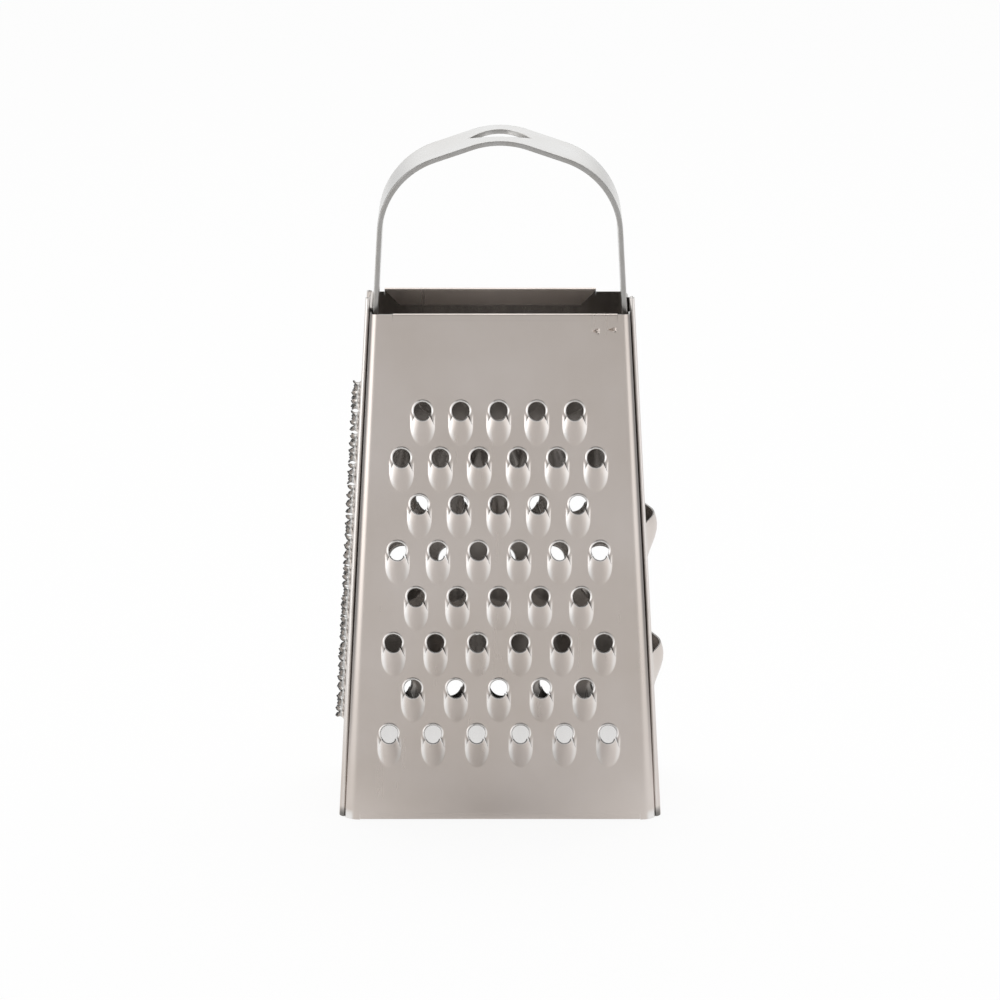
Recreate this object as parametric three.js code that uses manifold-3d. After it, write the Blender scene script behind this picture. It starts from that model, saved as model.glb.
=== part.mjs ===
// A four-sided hand grater: four punched steel panels hooked together at the corners, and a strap handle.
// Millimetres, +Z up. The medium teeth face -Y, and the origin is the middle of the base.
import * as THREE from "three";
import { mergeGeometries, mergeVertices } from "three/addons/utils/BufferGeometryUtils.js";
import Module from "manifold-3d";

const wasm = await Module();
wasm.setup();

// The body is a tube that narrows upwards. Its widths run over the flanges of the medium and coarse panels.
const bodyHeight = 104.5;
const widthBottom = 63.1;
const widthTop = 51;
const depthBottom = 31;
const depthTop = 20;
const sheet = 0.3;

// Corner seam: a hook on the medium or coarse panel lies inside a hook on the side panel.
const bendRadius = 1.6;
const seamFlange = 3.6;
const seamReturn = 2.2;
const seamGap = 0.05;
const seamEndGap = 0.15;
const seamDrop = 0.9;
const seamLift = 1.2;
const notchReach = 0.8;

// Hems: the edges turned inwards at the top and at the base.
const hemHeight = 3.4;
const hemGap = 0.15;
const hemEndGap = 0.4;

// Ears: the raised middle of each side panel, turned in over the end of the strap.
const earHeight = 2.6;
const earWidth = 12;
const earCorner = 2.4;
const earRoot = 2;
const earHemHeight = 4.6;
const earInset = 0.02;

// Medium teeth, in rows of six and five.
const mediumHole = 3.6;
const mediumRim = 0.45;
const mediumTail = 6.8;
const mediumHeight = 1.5;
const mediumRows = 8;
const mediumFirst = 18.3;
const mediumRise = 9.55;
const mediumPitchBottom = 8.8;
const mediumPitchTop = 7.5;
const mediumCount = 6;

// Coarse teeth, in rows of five and four.
const coarseHole = 6.2;
const coarseRim = 0.6;
const coarseTail = 9.4;
const coarseHeight = 2.1;
const coarseRows = 6;
const coarseFirst = 18.6;
const coarseRise = 13.7;
const coarsePitchBottom = 10.8;
const coarsePitchTop = 9;
const coarseCount = 5;

// Rasp burrs, in rows of three and two.
const burrBase = 2.6;
const burrTip = 1;
const burrHeight = 2.2;
const burrWall = 0.2;
const burrRows = 13;
const burrFirst = 19.7;
const burrRise = 5.44;
const burrPitch = 5.8;
const burrCount = 3;

// Slicing lips, each over its slot.
const lipWidth = 16;
const lipLength = 9.8;
const lipHeight = 2.6;
const slotHeight = 5;
const slotSpare = 0.4;
const lipRows = 2;
const lipFirst = 32.7;
const lipRise = 27.7;

// The wall of a punched tooth, measured square to its panel, and how far a cutter runs past the sheet.
const punchWall = 0.34;
const cutPast = 4;

// Handle: one strap bent to a low gable, with an eye to hang it by.
const handleHeight = 138.5;
const strapWidth = 14;
const strapThickness = 1;
const strapSeat = 8;
const strapFlangeGap = 0.2;
const strapSeatGap = 0.1;
const crownSlope = THREE.MathUtils.degToRad(19);
const shoulderRadius = 16;
const peakRadius = 17;
const eyeLength = 12;
const eyeWidth = 5;

// How finely round stretches are cut.
const foldSteps = 2;
const bendSteps = 3;
const strapSteps = 8;
const eyeSteps = 6;
const mediumSides = 8;
const coarseSides = 10;
const lipSides = 14;
const burrSides = 4;

// A tooth's outline swells to its tail by this power, and its lip rises to the cutting edge by the other.
const tailPower = 7;
const lipPower = 1.2;

// The middle ring of a tooth's outer side, as shares of the way to the mouth and of its height there.
const swellPlace = 0.5;
const swellLift = 0.68;

// Toothed plates are set into a window of their panel, a hair inside both its faces.
const plateMargin = 0.4;
const plateLap = 0.3;
const plateInset = 0.02;

// Rings of a slicing lip, as shares of its size and of its height.
const lipProfile = [
  { size: 1, lift: 0 },
  { size: 0.75, lift: 0.6 },
  { size: 0.45, lift: 0.92 },
  { size: 0.15, lift: 1 },
];

// The side panel's outer face stands this far outside the flange that it hooks over.
const seamProud = 3 * (sheet + seamGap);
const foldRadius = sheet + seamGap;

function halfWidth(z) {
  return THREE.MathUtils.mapLinear(z, 0, bodyHeight, widthBottom, widthTop) / 2;
}

function halfDepth(z) {
  return THREE.MathUtils.mapLinear(z, 0, bodyHeight, depthBottom, depthTop) / 2;
}

function sideReach(z) {
  return halfWidth(z) + seamProud;
}

function vec2(x, y) {
  return new THREE.Vector2(x, y);
}

// A path through corner points, with each inner corner rounded to its radius.
function roundedPath(corners, radii, steps) {
  const points = [corners[0]];
  radii.forEach((radius, i) => {
    const corner = corners[i + 1];
    const before = corners[i].clone().sub(corner).normalize();
    const after = corners[i + 2].clone().sub(corner).normalize();
    const half = before.angleTo(after) / 2;
    const middle = before.clone().add(after).normalize();
    const centre = corner.clone().addScaledVector(middle, radius / Math.sin(half));
    const start = corner.clone().addScaledVector(before, radius / Math.tan(half));
    const sweep = -Math.sign(before.cross(after)) * (Math.PI - 2 * half);
    for (let step = 0; step <= steps; step++) {
      points.push(start.clone().rotateAround(centre, (sweep * step) / steps));
    }
  });
  points.push(corners.at(-1));
  const least = sheet / 100;
  return points.filter((point, i) => i === 0 || point.distanceTo(points[i - 1]) > least);
}

// The closed outline of a sheet that is bent along a path.
function bentSheet(path, thickness) {
  const face = (reach) =>
    path.map((point, i) => {
      const last = path.length - 1;
      const into = path[Math.max(i, 1)].clone().sub(path[Math.max(i, 1) - 1]).normalize();
      const out = path[Math.min(i + 1, last)].clone().sub(path[Math.min(i, last - 1)]).normalize();
      const intoNormal = vec2(into.y, -into.x);
      const mitre = vec2(out.y, -out.x).add(intoNormal).normalize();
      return point.clone().addScaledVector(mitre, reach / mitre.dot(intoNormal));
    });
  return [...face(thickness / 2), ...face(-thickness / 2).reverse()];
}

// A closed skin over rings of equal count, listed upwards, each anticlockwise from above.
function loft(rings) {
  const count = rings[0].length;
  const index = [];
  for (let level = 0; level + 1 < rings.length; level++) {
    for (let i = 0; i < count; i++) {
      const a = level * count + i;
      const b = level * count + ((i + 1) % count);
      index.push(a, b, b + count, a, b + count, a + count);
    }
  }
  const outline = rings[0].map((point) => vec2(point.x, point.y));
  const top = (rings.length - 1) * count;
  for (const [a, b, c] of THREE.ShapeUtils.triangulateShape(outline, [])) {
    index.push(a, c, b, top + a, top + b, top + c);
  }
  const geometry = new THREE.BufferGeometry().setFromPoints(rings.flat());
  return geometry.setIndex(index);
}

function levelRing(outline, z) {
  return outline.map((point) => new THREE.Vector3(point.x, point.y, z));
}

// A level bar between two heights, whose outline may change from one to the other.
function bar(zLow, zHigh, halfLength, yNear, yFar) {
  const ring = (z) => {
    const reach = halfLength(z);
    const outline = [
      vec2(-reach, yNear(z)),
      vec2(reach, yNear(z)),
      vec2(reach, yFar(z)),
      vec2(-reach, yFar(z)),
    ];
    return levelRing(outline, z);
  };
  return loft([ring(zLow), ring(zHigh)]);
}

function box(xRange, yRange, zRange) {
  const ranges = [xRange, yRange, zRange];
  const sizes = ranges.map(([low, high]) => high - low);
  const middles = ranges.map(([low, high]) => (low + high) / 2);
  return new THREE.BoxGeometry(...sizes).translate(...middles);
}

// Keeps only the points and faces of a stock shape.
function bare(geometry) {
  const kept = new THREE.BufferGeometry();
  kept.setAttribute("position", geometry.getAttribute("position"));
  return kept.setIndex(geometry.getIndex());
}

function solid(geometry) {
  const merged = mergeVertices(bare(geometry));
  const vertProperties = new Float32Array(merged.getAttribute("position").array);
  const triVerts = new Uint32Array(merged.getIndex().array);
  return new wasm.Manifold(new wasm.Mesh({ numProp: 3, vertProperties, triVerts }));
}

function finished(body, name, look) {
  const { vertProperties, triVerts } = body.getMesh();
  const geometry = new THREE.BufferGeometry();
  geometry.setAttribute("position", new THREE.BufferAttribute(vertProperties, 3));
  geometry.setIndex(new THREE.BufferAttribute(triVerts, 1));
  geometry.computeVertexNormals();
  const mesh = new THREE.Mesh(geometry, new THREE.MeshStandardMaterial(look));
  mesh.name = name;
  return mesh;
}

// Every panel is made facing -Y. Its face frame has u level, v up the slope and n out of the sheet.
function faceFrame(reach) {
  const lean = Math.atan2(reach(0) - reach(bodyHeight), bodyHeight);
  const level = new THREE.Vector3(1, 0, 0);
  const upSlope = new THREE.Vector3(0, Math.sin(lean), Math.cos(lean));
  const outward = new THREE.Vector3().crossVectors(level, upSlope);
  return new THREE.Matrix4().makeBasis(level, upSlope, outward).setPosition(0, -reach(0), 0);
}

function slopeLength(reach) {
  return Math.hypot(bodyHeight, reach(0) - reach(bodyHeight)) / bodyHeight;
}

// Places of a punch: level rows that fan out downwards, with one punch fewer in every second row.
function fanRows({ rows, first, rise, pitchBottom, pitchTop, count }) {
  const places = [];
  for (let row = 0; row < rows; row++) {
    const pitch = THREE.MathUtils.mapLinear(row, 0, Math.max(rows - 1, 1), pitchBottom, pitchTop);
    const inRow = count - (row % 2);
    for (let i = 0; i < inRow; i++) {
      places.push([(i - (inRow - 1) / 2) * pitch, first + row * rise]);
    }
  }
  return places;
}

// One body that holds a copy of a punch at every place, set on a panel's face.
function punched(punch, places, frame) {
  const copies = places.map(([u, v]) => punch.clone().translate(u, v, 0));
  return solid(mergeGeometries(copies).applyMatrix4(frame));
}

function ellipseRing(width, length, sides, drop, lift) {
  return Array.from({ length: sides }, (_, i) => {
    const angle = (2 * Math.PI * i) / sides;
    const u = (width / 2) * Math.cos(angle);
    const v = (length / 2) * Math.sin(angle) - drop;
    return new THREE.Vector3(u, v, lift);
  });
}

// A raised dome, rooted half way through the sheet.
function dome(width, length, height, drop, profile, sides) {
  const rise = height + sheet / 2;
  const rings = profile.map(({ size, lift }) =>
    ellipseRing(width * size, length * size, sides, drop, lift * rise - sheet / 2),
  );
  return loft(rings);
}

// The space inside a dome: the same form, set back by the wall.
function hollow(width, length, height, drop, profile, sides) {
  return dome(width, length, height, drop, profile, sides).translate(0, 0, -punchWall);
}

// Blank of the medium and coarse panels: a flat face, two bends and a hook at each side.
function hookedBlank() {
  const ring = (z) => {
    const flange = halfWidth(z) - sheet / 2;
    const hook = halfWidth(z) + 2 * seamGap + 1.5 * sheet;
    const face = -halfDepth(z) + sheet / 2;
    const back = -halfDepth(z) + seamFlange - sheet / 2;
    const end = -halfDepth(z) + seamFlange - seamReturn;
    const right = [vec2(flange, face), vec2(flange, back), vec2(hook, back), vec2(hook, end)];
    const left = right.map((point) => vec2(-point.x, point.y)).reverse();
    const bend = bendRadius - sheet / 2;
    const radii = [foldRadius, foldRadius, bend, bend, foldRadius, foldRadius];
    return levelRing(bentSheet(roundedPath([...left, ...right], radii, bendSteps), sheet), z);
  };
  return solid(loft([ring(0), ring(bodyHeight)]));
}

// Blank of a side panel: a flat face with a hook at each side that closes round the other panel's hook.
function coverBlank() {
  const ring = (z) => {
    const face = -sideReach(z) + sheet / 2;
    const hook = face + 2 * foldRadius;
    const fold = halfDepth(z) - seamFlange + seamReturn + seamEndGap + foldRadius;
    const end = halfDepth(z) - seamFlange + foldRadius + sheet / 2 + seamEndGap;
    const right = [vec2(fold, face), vec2(fold, hook), vec2(end, hook)];
    const left = right.map((point) => vec2(-point.x, point.y)).reverse();
    const radii = [foldRadius, foldRadius, foldRadius, foldRadius];
    return levelRing(bentSheet(roundedPath([...left, ...right], radii, foldSteps), sheet), z);
  };
  return solid(loft([ring(0), ring(bodyHeight - seamDrop)]));
}

// The corners of a blank are cut away at the base, and above the seams.
function cutCorners(body, innerEdge, reach) {
  const inner = Math.max(reach(0), halfDepth(0)) + cutPast;
  const outer = halfWidth(0) + halfDepth(0);
  let cut = body;
  for (const [low, high] of [[-cutPast, seamLift], [bodyHeight - seamDrop, bodyHeight + cutPast]]) {
    const edge = innerEdge(low < 0 ? 0 : bodyHeight);
    cut = cut.subtract(solid(box([edge, outer], [-inner, 0], [low, high])));
    cut = cut.subtract(solid(box([-outer, -edge], [-inner, 0], [low, high])));
  }
  return cut;
}

// A hem along a level edge: the sheet turned in at the edge, and a leg that lies inside it with mitred ends.
function addHem(body, edge, direction, halfLength, reach) {
  const end = edge + direction * hemHeight;
  const lip = edge + direction * sheet;
  const inside = (z) => -reach(z) + sheet;
  const legLength = (z) => halfLength(z) - Math.abs(z - edge);
  const near = (z) => inside(z) + hemGap;
  const far = (z) => near(z) + sheet;
  const leg = bar(Math.min(edge, end), Math.max(edge, end), legLength, near, far);
  const rootNear = (z) => inside(z) - sheet / 2;
  const rootFar = (z) => near(z) + sheet / 2;
  const root = bar(Math.min(edge, lip), Math.max(edge, lip), legLength, rootNear, rootFar);
  return body.add(solid(leg)).add(solid(root));
}

// The rings of one tooth, from its outline on the outer face over the lip and back to the inner face.
function toothRings(tooth, u, v) {
  const radius = tooth.hole / 2;
  const least = radius + tooth.rim;
  const places = Array.from({ length: tooth.sides }, (_, i) => {
    const angle = Math.PI / 2 + (2 * Math.PI * i) / tooth.sides;
    const low = (1 - Math.sin(angle)) / 2;
    const along = vec2(Math.cos(angle), Math.sin(angle));
    const outline = along.clone().multiplyScalar(least + (tooth.tail - least) * low ** tailPower);
    return { outline, mouth: along.multiplyScalar(radius), lift: tooth.height * low ** lipPower };
  });
  const at = (point, n) => new THREE.Vector3(u + point.x, v + point.y, n);
  const swell = ({ outline, mouth, lift }) =>
    at(outline.clone().lerp(mouth, swellPlace), swellLift * lift - plateInset);
  return [
    places.map(({ outline }) => at(outline, -plateInset)),
    places.map(swell),
    places.map(({ mouth, lift }) => at(mouth, lift - plateInset)),
    places.map(({ mouth, lift }) => at(mouth, lift + plateInset - sheet)),
    places.map(({ outline }) => at(outline, plateInset - sheet)),
  ];
}

// A closed plate with every tooth of a panel in it: two flat faces, their border and the rings of each tooth.
function toothedPlate(tooth, border) {
  const teeth = tooth.places.map(([u, v]) => toothRings(tooth, u, v));
  const points = [];
  const index = [];
  const put = (ring) => {
    const start = points.length;
    points.push(...ring);
    return start;
  };
  const strip = (from, to, count) => {
    for (let i = 0; i < count; i++) {
      const next = (i + 1) % count;
      index.push(from + i, from + next, to + next, from + i, to + next, to + i);
    }
  };
  const outer = put(levelRing(border, -plateInset));
  const outerHoles = teeth.map((rings) => put(rings[0]));
  const inner = put(levelRing(border, plateInset - sheet));
  const innerHoles = teeth.map((rings) => put(rings.at(-1)));
  const holes = teeth.map((rings) => rings[0].map((point) => vec2(point.x, point.y)));
  for (const [a, b, c] of THREE.ShapeUtils.triangulateShape(border, holes)) {
    index.push(outer + a, outer + b, outer + c, inner + a, inner + c, inner + b);
  }
  strip(inner, outer, border.length);
  teeth.forEach((rings, i) => {
    const starts = rings.slice(1, -1).map(put);
    const path = [outerHoles[i], ...starts, innerHoles[i]];
    path.slice(1).forEach((start, step) => strip(path[step], start, tooth.sides));
  });
  return new THREE.BufferGeometry().setFromPoints(points).setIndex(index);
}

// The border of a toothed plate follows the fan of its rows.
function plateBorder(tooth, spare) {
  const least = tooth.hole / 2 + tooth.rim;
  const side = (pitch) => ((tooth.count - 1) / 2) * pitch + tooth.tail / 2 + spare;
  const low = tooth.first - tooth.tail - spare;
  const high = tooth.first + (tooth.rows - 1) * tooth.rise + least + spare;
  const bottom = side(tooth.pitchBottom);
  const top = side(tooth.pitchTop);
  return [vec2(-bottom, low), vec2(bottom, low), vec2(top, high), vec2(-top, high)];
}

// Medium and coarse panels share their blank and hems, and differ in their teeth.
function toothedPanel(tooth) {
  const frame = faceFrame(halfDepth);
  const hemLength = (z) => halfWidth(z) - bendRadius - hemEndGap;
  const border = plateBorder(tooth, plateMargin);
  const window = plateBorder(tooth, plateMargin - plateLap);
  const opening = loft([levelRing(window, -cutPast), levelRing(window, cutPast)]);
  const places = fanRows(tooth);
  let body = cutCorners(hookedBlank(), (z) => halfWidth(z) - notchReach, halfDepth);
  body = addHem(body, bodyHeight, -1, hemLength, halfDepth);
  body = addHem(body, 0, 1, hemLength, halfDepth);
  body = body.subtract(solid(opening.applyMatrix4(frame)));
  return body.add(solid(toothedPlate({ ...tooth, places }, border).applyMatrix4(frame)));
}

// The ear on a side panel, its inner leg, and the turn between them.
function addEar(body) {
  const frame = faceFrame(sideReach);
  const stretch = slopeLength(sideReach);
  const top = (bodyHeight + earHeight) * stretch;
  const root = (bodyHeight - seamDrop - earRoot) * stretch;
  const half = earWidth / 2;
  const outline = new THREE.Shape();
  outline.moveTo(-half, root);
  outline.lineTo(half, root);
  outline.lineTo(half, top - earCorner);
  outline.absarc(half - earCorner, top - earCorner, earCorner, 0, Math.PI / 2, false);
  outline.lineTo(earCorner - half, top);
  outline.absarc(earCorner - half, top - earCorner, earCorner, Math.PI / 2, Math.PI, false);
  const depth = sheet - 2 * earInset;
  const plate = new THREE.ExtrudeGeometry(outline, { depth, bevelEnabled: false, curveSegments: bendSteps });
  plate.translate(0, 0, earInset - sheet);
  const legFace = -seamProud - sheet - strapFlangeGap + strapSeatGap;
  const legHalf = half - earCorner;
  const leg = box([-legHalf, legHalf], [top - earHemHeight, top], [legFace, legFace + sheet]);
  const turn = box([-legHalf, legHalf], [top - sheet, top], [legFace + sheet / 2, -sheet / 2]);
  return [plate, leg, turn].reduce((joined, piece) => joined.add(solid(piece.applyMatrix4(frame))), body);
}

// A side panel before it is punched.
function sidePanel() {
  const seamEdge = (z) => halfDepth(z) - seamFlange;
  const hemLength = (z) => halfDepth(z) - seamFlange - hemEndGap;
  const body = cutCorners(coverBlank(), seamEdge, sideReach);
  return addEar(addHem(body, 0, 1, hemLength, sideReach));
}

function mediumPanel() {
  return toothedPanel({
    hole: mediumHole,
    rim: mediumRim,
    tail: mediumTail,
    height: mediumHeight,
    rows: mediumRows,
    first: mediumFirst,
    rise: mediumRise,
    pitchBottom: mediumPitchBottom,
    pitchTop: mediumPitchTop,
    count: mediumCount,
    sides: mediumSides,
  });
}

function coarsePanel() {
  return toothedPanel({
    hole: coarseHole,
    rim: coarseRim,
    tail: coarseTail,
    height: coarseHeight,
    rows: coarseRows,
    first: coarseFirst,
    rise: coarseRise,
    pitchBottom: coarsePitchBottom,
    pitchTop: coarsePitchTop,
    count: coarseCount,
    sides: coarseSides,
  });
}

// Burrs: the sheet burst outwards to a small four-sided crown, open at its tip.
function raspPanel() {
  const frame = faceFrame(sideReach);
  const places = fanRows({
    rows: burrRows,
    first: burrFirst,
    rise: burrRise,
    pitchBottom: burrPitch,
    pitchTop: burrPitch,
    count: burrCount,
  });
  const ring = (size, lift) => ellipseRing(size, size, burrSides, 0, lift);
  const crown = loft([ring(burrBase, -sheet / 2), ring(burrTip, burrHeight)]);
  const narrowing = (burrBase - burrTip) / (burrHeight + sheet / 2);
  const bore = (lift) => burrBase - 2 * burrWall - narrowing * (lift + sheet / 2);
  const below = -2 * sheet;
  const above = burrHeight + sheet / 2;
  const mouth = loft([ring(bore(below), below), ring(bore(above), above)]);
  return sidePanel().add(punched(crown, places, frame)).subtract(punched(mouth, places, frame));
}

// Slicing lips: a wide dome whose upper part is cut away by the slot above its edge.
function slicerPanel() {
  const frame = faceFrame(sideReach);
  const places = Array.from({ length: lipRows }, (_, row) => [0, lipFirst + row * lipRise]);
  const crest = (lipLength - slotHeight + slotSpare) / 2;
  const lip = [lipWidth, 2 * (lipLength - crest), lipHeight, crest, lipProfile, lipSides];
  const half = lipWidth / 2;
  const slot = bare(box([-half, half], [0, slotHeight], [-cutPast, cutPast]));
  return sidePanel()
    .add(punched(dome(...lip), places, frame))
    .subtract(punched(hollow(...lip), places, frame))
    .subtract(punched(slot, places, frame));
}

// The strap runs up inside one ear, over the gable and down inside the other.
function handleStrap() {
  const inset = sheet + strapFlangeGap + strapThickness / 2;
  const legX = (z) => halfWidth(z) - inset;
  const lean = legX(0) - legX(1);
  const ridge = handleHeight - strapThickness / 2 + peakRadius * (1 / Math.cos(crownSlope) - 1);
  const shoulderX = (legX(0) - lean * ridge) / (1 - lean * Math.tan(crownSlope));
  const shoulderZ = ridge - shoulderX * Math.tan(crownSlope);
  const footZ = bodyHeight - strapSeat;
  const corners = [
    vec2(legX(footZ), footZ),
    vec2(shoulderX, shoulderZ),
    vec2(0, ridge),
    vec2(-shoulderX, shoulderZ),
    vec2(-legX(footZ), footZ),
  ];
  const path = roundedPath(corners, [shoulderRadius, peakRadius, shoulderRadius], strapSteps);
  const outline = new THREE.Shape(bentSheet(path, strapThickness));
  const strap = new THREE.ExtrudeGeometry(outline, { depth: strapWidth, bevelEnabled: false });
  strap.rotateX(Math.PI / 2).translate(0, strapWidth / 2, 0);
  const eye = new THREE.Shape();
  eye.moveTo(-eyeLength / 2, 0);
  eye.quadraticCurveTo(0, -eyeWidth, eyeLength / 2, 0);
  eye.quadraticCurveTo(0, eyeWidth, -eyeLength / 2, 0);
  const crownDepth = eyeLength * Math.tan(crownSlope) + strapThickness;
  const cutter = new THREE.ExtrudeGeometry(eye, {
    depth: crownDepth + cutPast,
    bevelEnabled: false,
    curveSegments: eyeSteps,
  });
  cutter.translate(0, 0, handleHeight - crownDepth);
  return solid(strap).subtract(solid(cutter));
}

const satinSteel = { color: "#b0a8a3", roughness: 0.38, metalness: 1 };
const brightSteel = { color: "#c9c6c2", roughness: 0.26, metalness: 1 };

const medium = finished(mediumPanel(), "medium_panel", satinSteel);
const coarse = finished(coarsePanel(), "coarse_panel", satinSteel);
coarse.rotation.z = Math.PI;
const slicer = finished(slicerPanel(), "slicer_panel", satinSteel);
slicer.rotation.z = Math.PI / 2;
const rasp = finished(raspPanel(), "rasp_panel", satinSteel);
rasp.rotation.z = -Math.PI / 2;
const handle = finished(handleStrap(), "handle_strap", brightSteel);

const grater = new THREE.Group();
grater.add(medium, coarse, slicer, rasp, handle);

export default grater;
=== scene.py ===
import math

import bmesh
import bpy
from mathutils import Matrix, Vector


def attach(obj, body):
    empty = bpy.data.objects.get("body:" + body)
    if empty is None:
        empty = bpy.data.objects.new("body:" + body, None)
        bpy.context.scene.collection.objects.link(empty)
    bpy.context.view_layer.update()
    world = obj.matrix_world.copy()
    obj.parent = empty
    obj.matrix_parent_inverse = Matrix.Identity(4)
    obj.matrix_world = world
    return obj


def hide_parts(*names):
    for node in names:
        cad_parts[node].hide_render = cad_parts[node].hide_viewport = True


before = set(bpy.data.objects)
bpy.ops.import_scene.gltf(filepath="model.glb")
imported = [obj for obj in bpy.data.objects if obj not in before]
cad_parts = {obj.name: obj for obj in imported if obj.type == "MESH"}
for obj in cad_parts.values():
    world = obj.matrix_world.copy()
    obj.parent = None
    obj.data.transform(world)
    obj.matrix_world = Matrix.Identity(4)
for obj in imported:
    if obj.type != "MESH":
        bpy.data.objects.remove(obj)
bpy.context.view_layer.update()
scene = bpy.context.scene
mm = 0.001  # the pieces are drawn in millimetres and scaled as their meshes are made
print("frame loaded:", sorted(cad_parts))

# The tapered tube that the four panels make
body = {
    "height": 104.5,
    "widthBottom": 63.1,
    "widthTop": 51.0,
    "depthBottom": 31.0,
    "depthTop": 20.0,
    "sheet": 0.3,
}

# The folded corner seams: hooks of the medium and coarse panels inside hooks of the side panels
seam = {
    "bendBottom": 2.3,
    "bendTop": 1.6,
    "flange": 3.6,
    "noseBottom": 2.25,
    "noseTop": 2.2,
    "gap": 0.05,
    "endGap": 0.15,
    "drop": 0.3,
    "foot": 0.12,
    "tuck": 0.1,
    "tuckHeight": 2.4,
    "shoulder": 0.35,
    "slant": (0.9, 0.1),
    "slantHeight": 45.0,
    "rows": (0.0, 0.006, 0.012, 0.02, 0.035, 0.06, 0.2, 0.4, 0.6, 0.8, 0.94, 0.98, 1.0),
    "bendSteps": 12,
    "foldSteps": 6,
    # painted highlights and painted shade along the seams
    "sheenLevel": 0.35,
    "shadeLevel": 0.8,
    "sheenAtFoot": 0.2,
    "endShade": 0.85,
    "endSheen": 0.9,
    "endHeight": 1.0,
    "endFade": 0.8,
    "sheenMarks": {"low": 6.0, "rise": 16.0, "above": 0.45},
    "shadeFade": {"low": 5.0, "rise": 30.0, "above": 0.0},
    "markTop": 104.3,
    "markFade": 0.5,
    # where the marks start and end across a fold, counted in bends
    "bendShade": (0.42, 0.62),
    "bendGroove": (0.6, 0.9),
    "nickRise": (0.1, 0.3),
    "nickFall": (1.0, 0.8),
    "noseSheen": (1.5, 1.0),
    "noseGroove": (0.9, 1.3),
    "noseShade": (1.3, 1.8),
    "mouthShade": (0.2, 0.6),
}
seamProud = 3 * (body["sheet"] + seam["gap"])
foldRadius = body["sheet"] + seam["gap"]
shortOfFull = 0.999  # keeps two bends that meet, and a round end, from closing up
foldRadii = (foldRadius, foldRadius * shortOfFull)
midFace = -body["sheet"] / 2  # sheets are drawn at their middle and thickened afterwards


def lerp(a, b, t):
    return a + (b - a) * t


def ease(t):
    t = min(max(t, 0.0), 1.0)
    return t * t * (3 - 2 * t)


# An eased rise from 0 at a span's start to 1 at its end
def grow(t, span):
    return ease((t - span[0]) / (span[1] - span[0]))


def halfWidth(z):
    return lerp(body["widthBottom"], body["widthTop"], z / body["height"]) / 2


def halfDepth(z):
    return lerp(body["depthBottom"], body["depthTop"], z / body["height"]) / 2


def sideReach(z):
    return halfWidth(z) + seamProud


# How far the rounded noses of the side panels' hooks lie behind the faces
def noseDepth(z):
    return lerp(seam["noseBottom"], seam["noseTop"], z / body["height"])


# A panel is drawn facing -Y. Its face has u level, v up the slope and n out of the sheet.
def faceMatrix(reach):
    lean = math.atan2(reach(0) - reach(body["height"]), body["height"])
    level = Vector((1, 0, 0))
    upSlope = Vector((0, math.sin(lean), math.cos(lean)))
    outward = level.cross(upSlope)
    turned = Matrix((level, upSlope, outward)).transposed().to_4x4()
    return Matrix.Translation((0, -reach(0), 0)) @ turned


def slopeLength(reach):
    return math.hypot(body["height"], reach(0) - reach(body["height"]))


# Points and faces of a sheet while it is drawn, with marks on its points for painted highlights and
# painted shade
class Sheet:
    def __init__(self):
        self.points = []
        self.faces = []
        self.marks = {"paintedSheen": [], "shade": []}

    def addGrid(self, rows, closed=False, paintedSheen=None, shade=None):
        start = len(self.points)
        count = len(rows[0])
        for row in rows:
            self.points.extend(Vector(point) for point in row)
        for name, given in (("paintedSheen", paintedSheen), ("shade", shade)):
            for values in given or [[0.0] * count] * len(rows):
                self.marks[name].extend(values)
        for r in range(len(rows) - 1):
            for c in range(count if closed else count - 1):
                a = start + r * count + c
                b = start + r * count + (c + 1) % count
                self.faces.append((a, b, b + count, a + count))

    def addFlat(self, outline, holes):
        filled = bmesh.new()
        for loop in [outline, *holes]:
            corners = [filled.verts.new((u, v, midFace)) for u, v in loop]
            for i, corner in enumerate(corners):
                filled.edges.new((corner, corners[(i + 1) % len(corners)]))
        bmesh.ops.triangle_fill(filled, use_beauty=True, edges=filled.edges[:], normal=(0, 0, 1))
        start = len(self.points)
        filled.verts.index_update()
        self.points.extend(vert.co.copy() for vert in filled.verts)
        for marks in self.marks.values():
            marks.extend([0.0] * len(filled.verts))
        for face in filled.faces:
            order = [start + vert.index for vert in face.verts]
            self.faces.append(tuple(order if face.normal.z > 0 else reversed(order)))
        filled.free()

    def toObject(self, name):
        mesh = bpy.data.meshes.new(name)
        faces = [tuple(dict.fromkeys(face)) for face in self.faces]
        mesh.from_pydata([point * mm for point in self.points], [], faces)
        for mark, values in self.marks.items():
            mesh.attributes.new(mark, "FLOAT", "POINT").data.foreach_set("value", values)
        made = bpy.data.objects.new(name, mesh)
        scene.collection.objects.link(made)
        return made


# A path through corner points, with each inner corner rounded to its radius
def roundedPath(corners, radii, steps):
    path = [corners[0]]
    for i, radius in enumerate(radii):
        corner = corners[i + 1]
        before = (corners[i] - corner).normalized()
        after = (corners[i + 2] - corner).normalized()
        half = before.angle(after) / 2
        centre = corner + (before + after).normalized() * (radius / math.sin(half))
        start = corner + before * (radius / math.tan(half))
        turn = math.copysign(math.pi - 2 * half, -before.cross(after))
        for step in range(steps + 1):
            path.append(centre + Matrix.Rotation(turn * step / steps, 2) @ (start - centre))
    path.append(corners[-1])
    return path


# A column of a seam strip: a line up the panel, cut at its own heights,
# tucked in and slanted at its foot
def columnPoints(low, high, zLow, zHigh, toFace, tuck=0.0, slant=Vector((0, 0))):
    points = []
    for share in seam["rows"]:
        z = lerp(zLow, zHigh, share)
        x, y = low.lerp(high, z / body["height"]) + slant * (1 - ease(z / seam["slantHeight"]))
        inward = tuck * (1 - ease(z / seam["tuckHeight"]))
        points.append(toFace @ Vector((x - inward, y + inward, z)))
    return points
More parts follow.
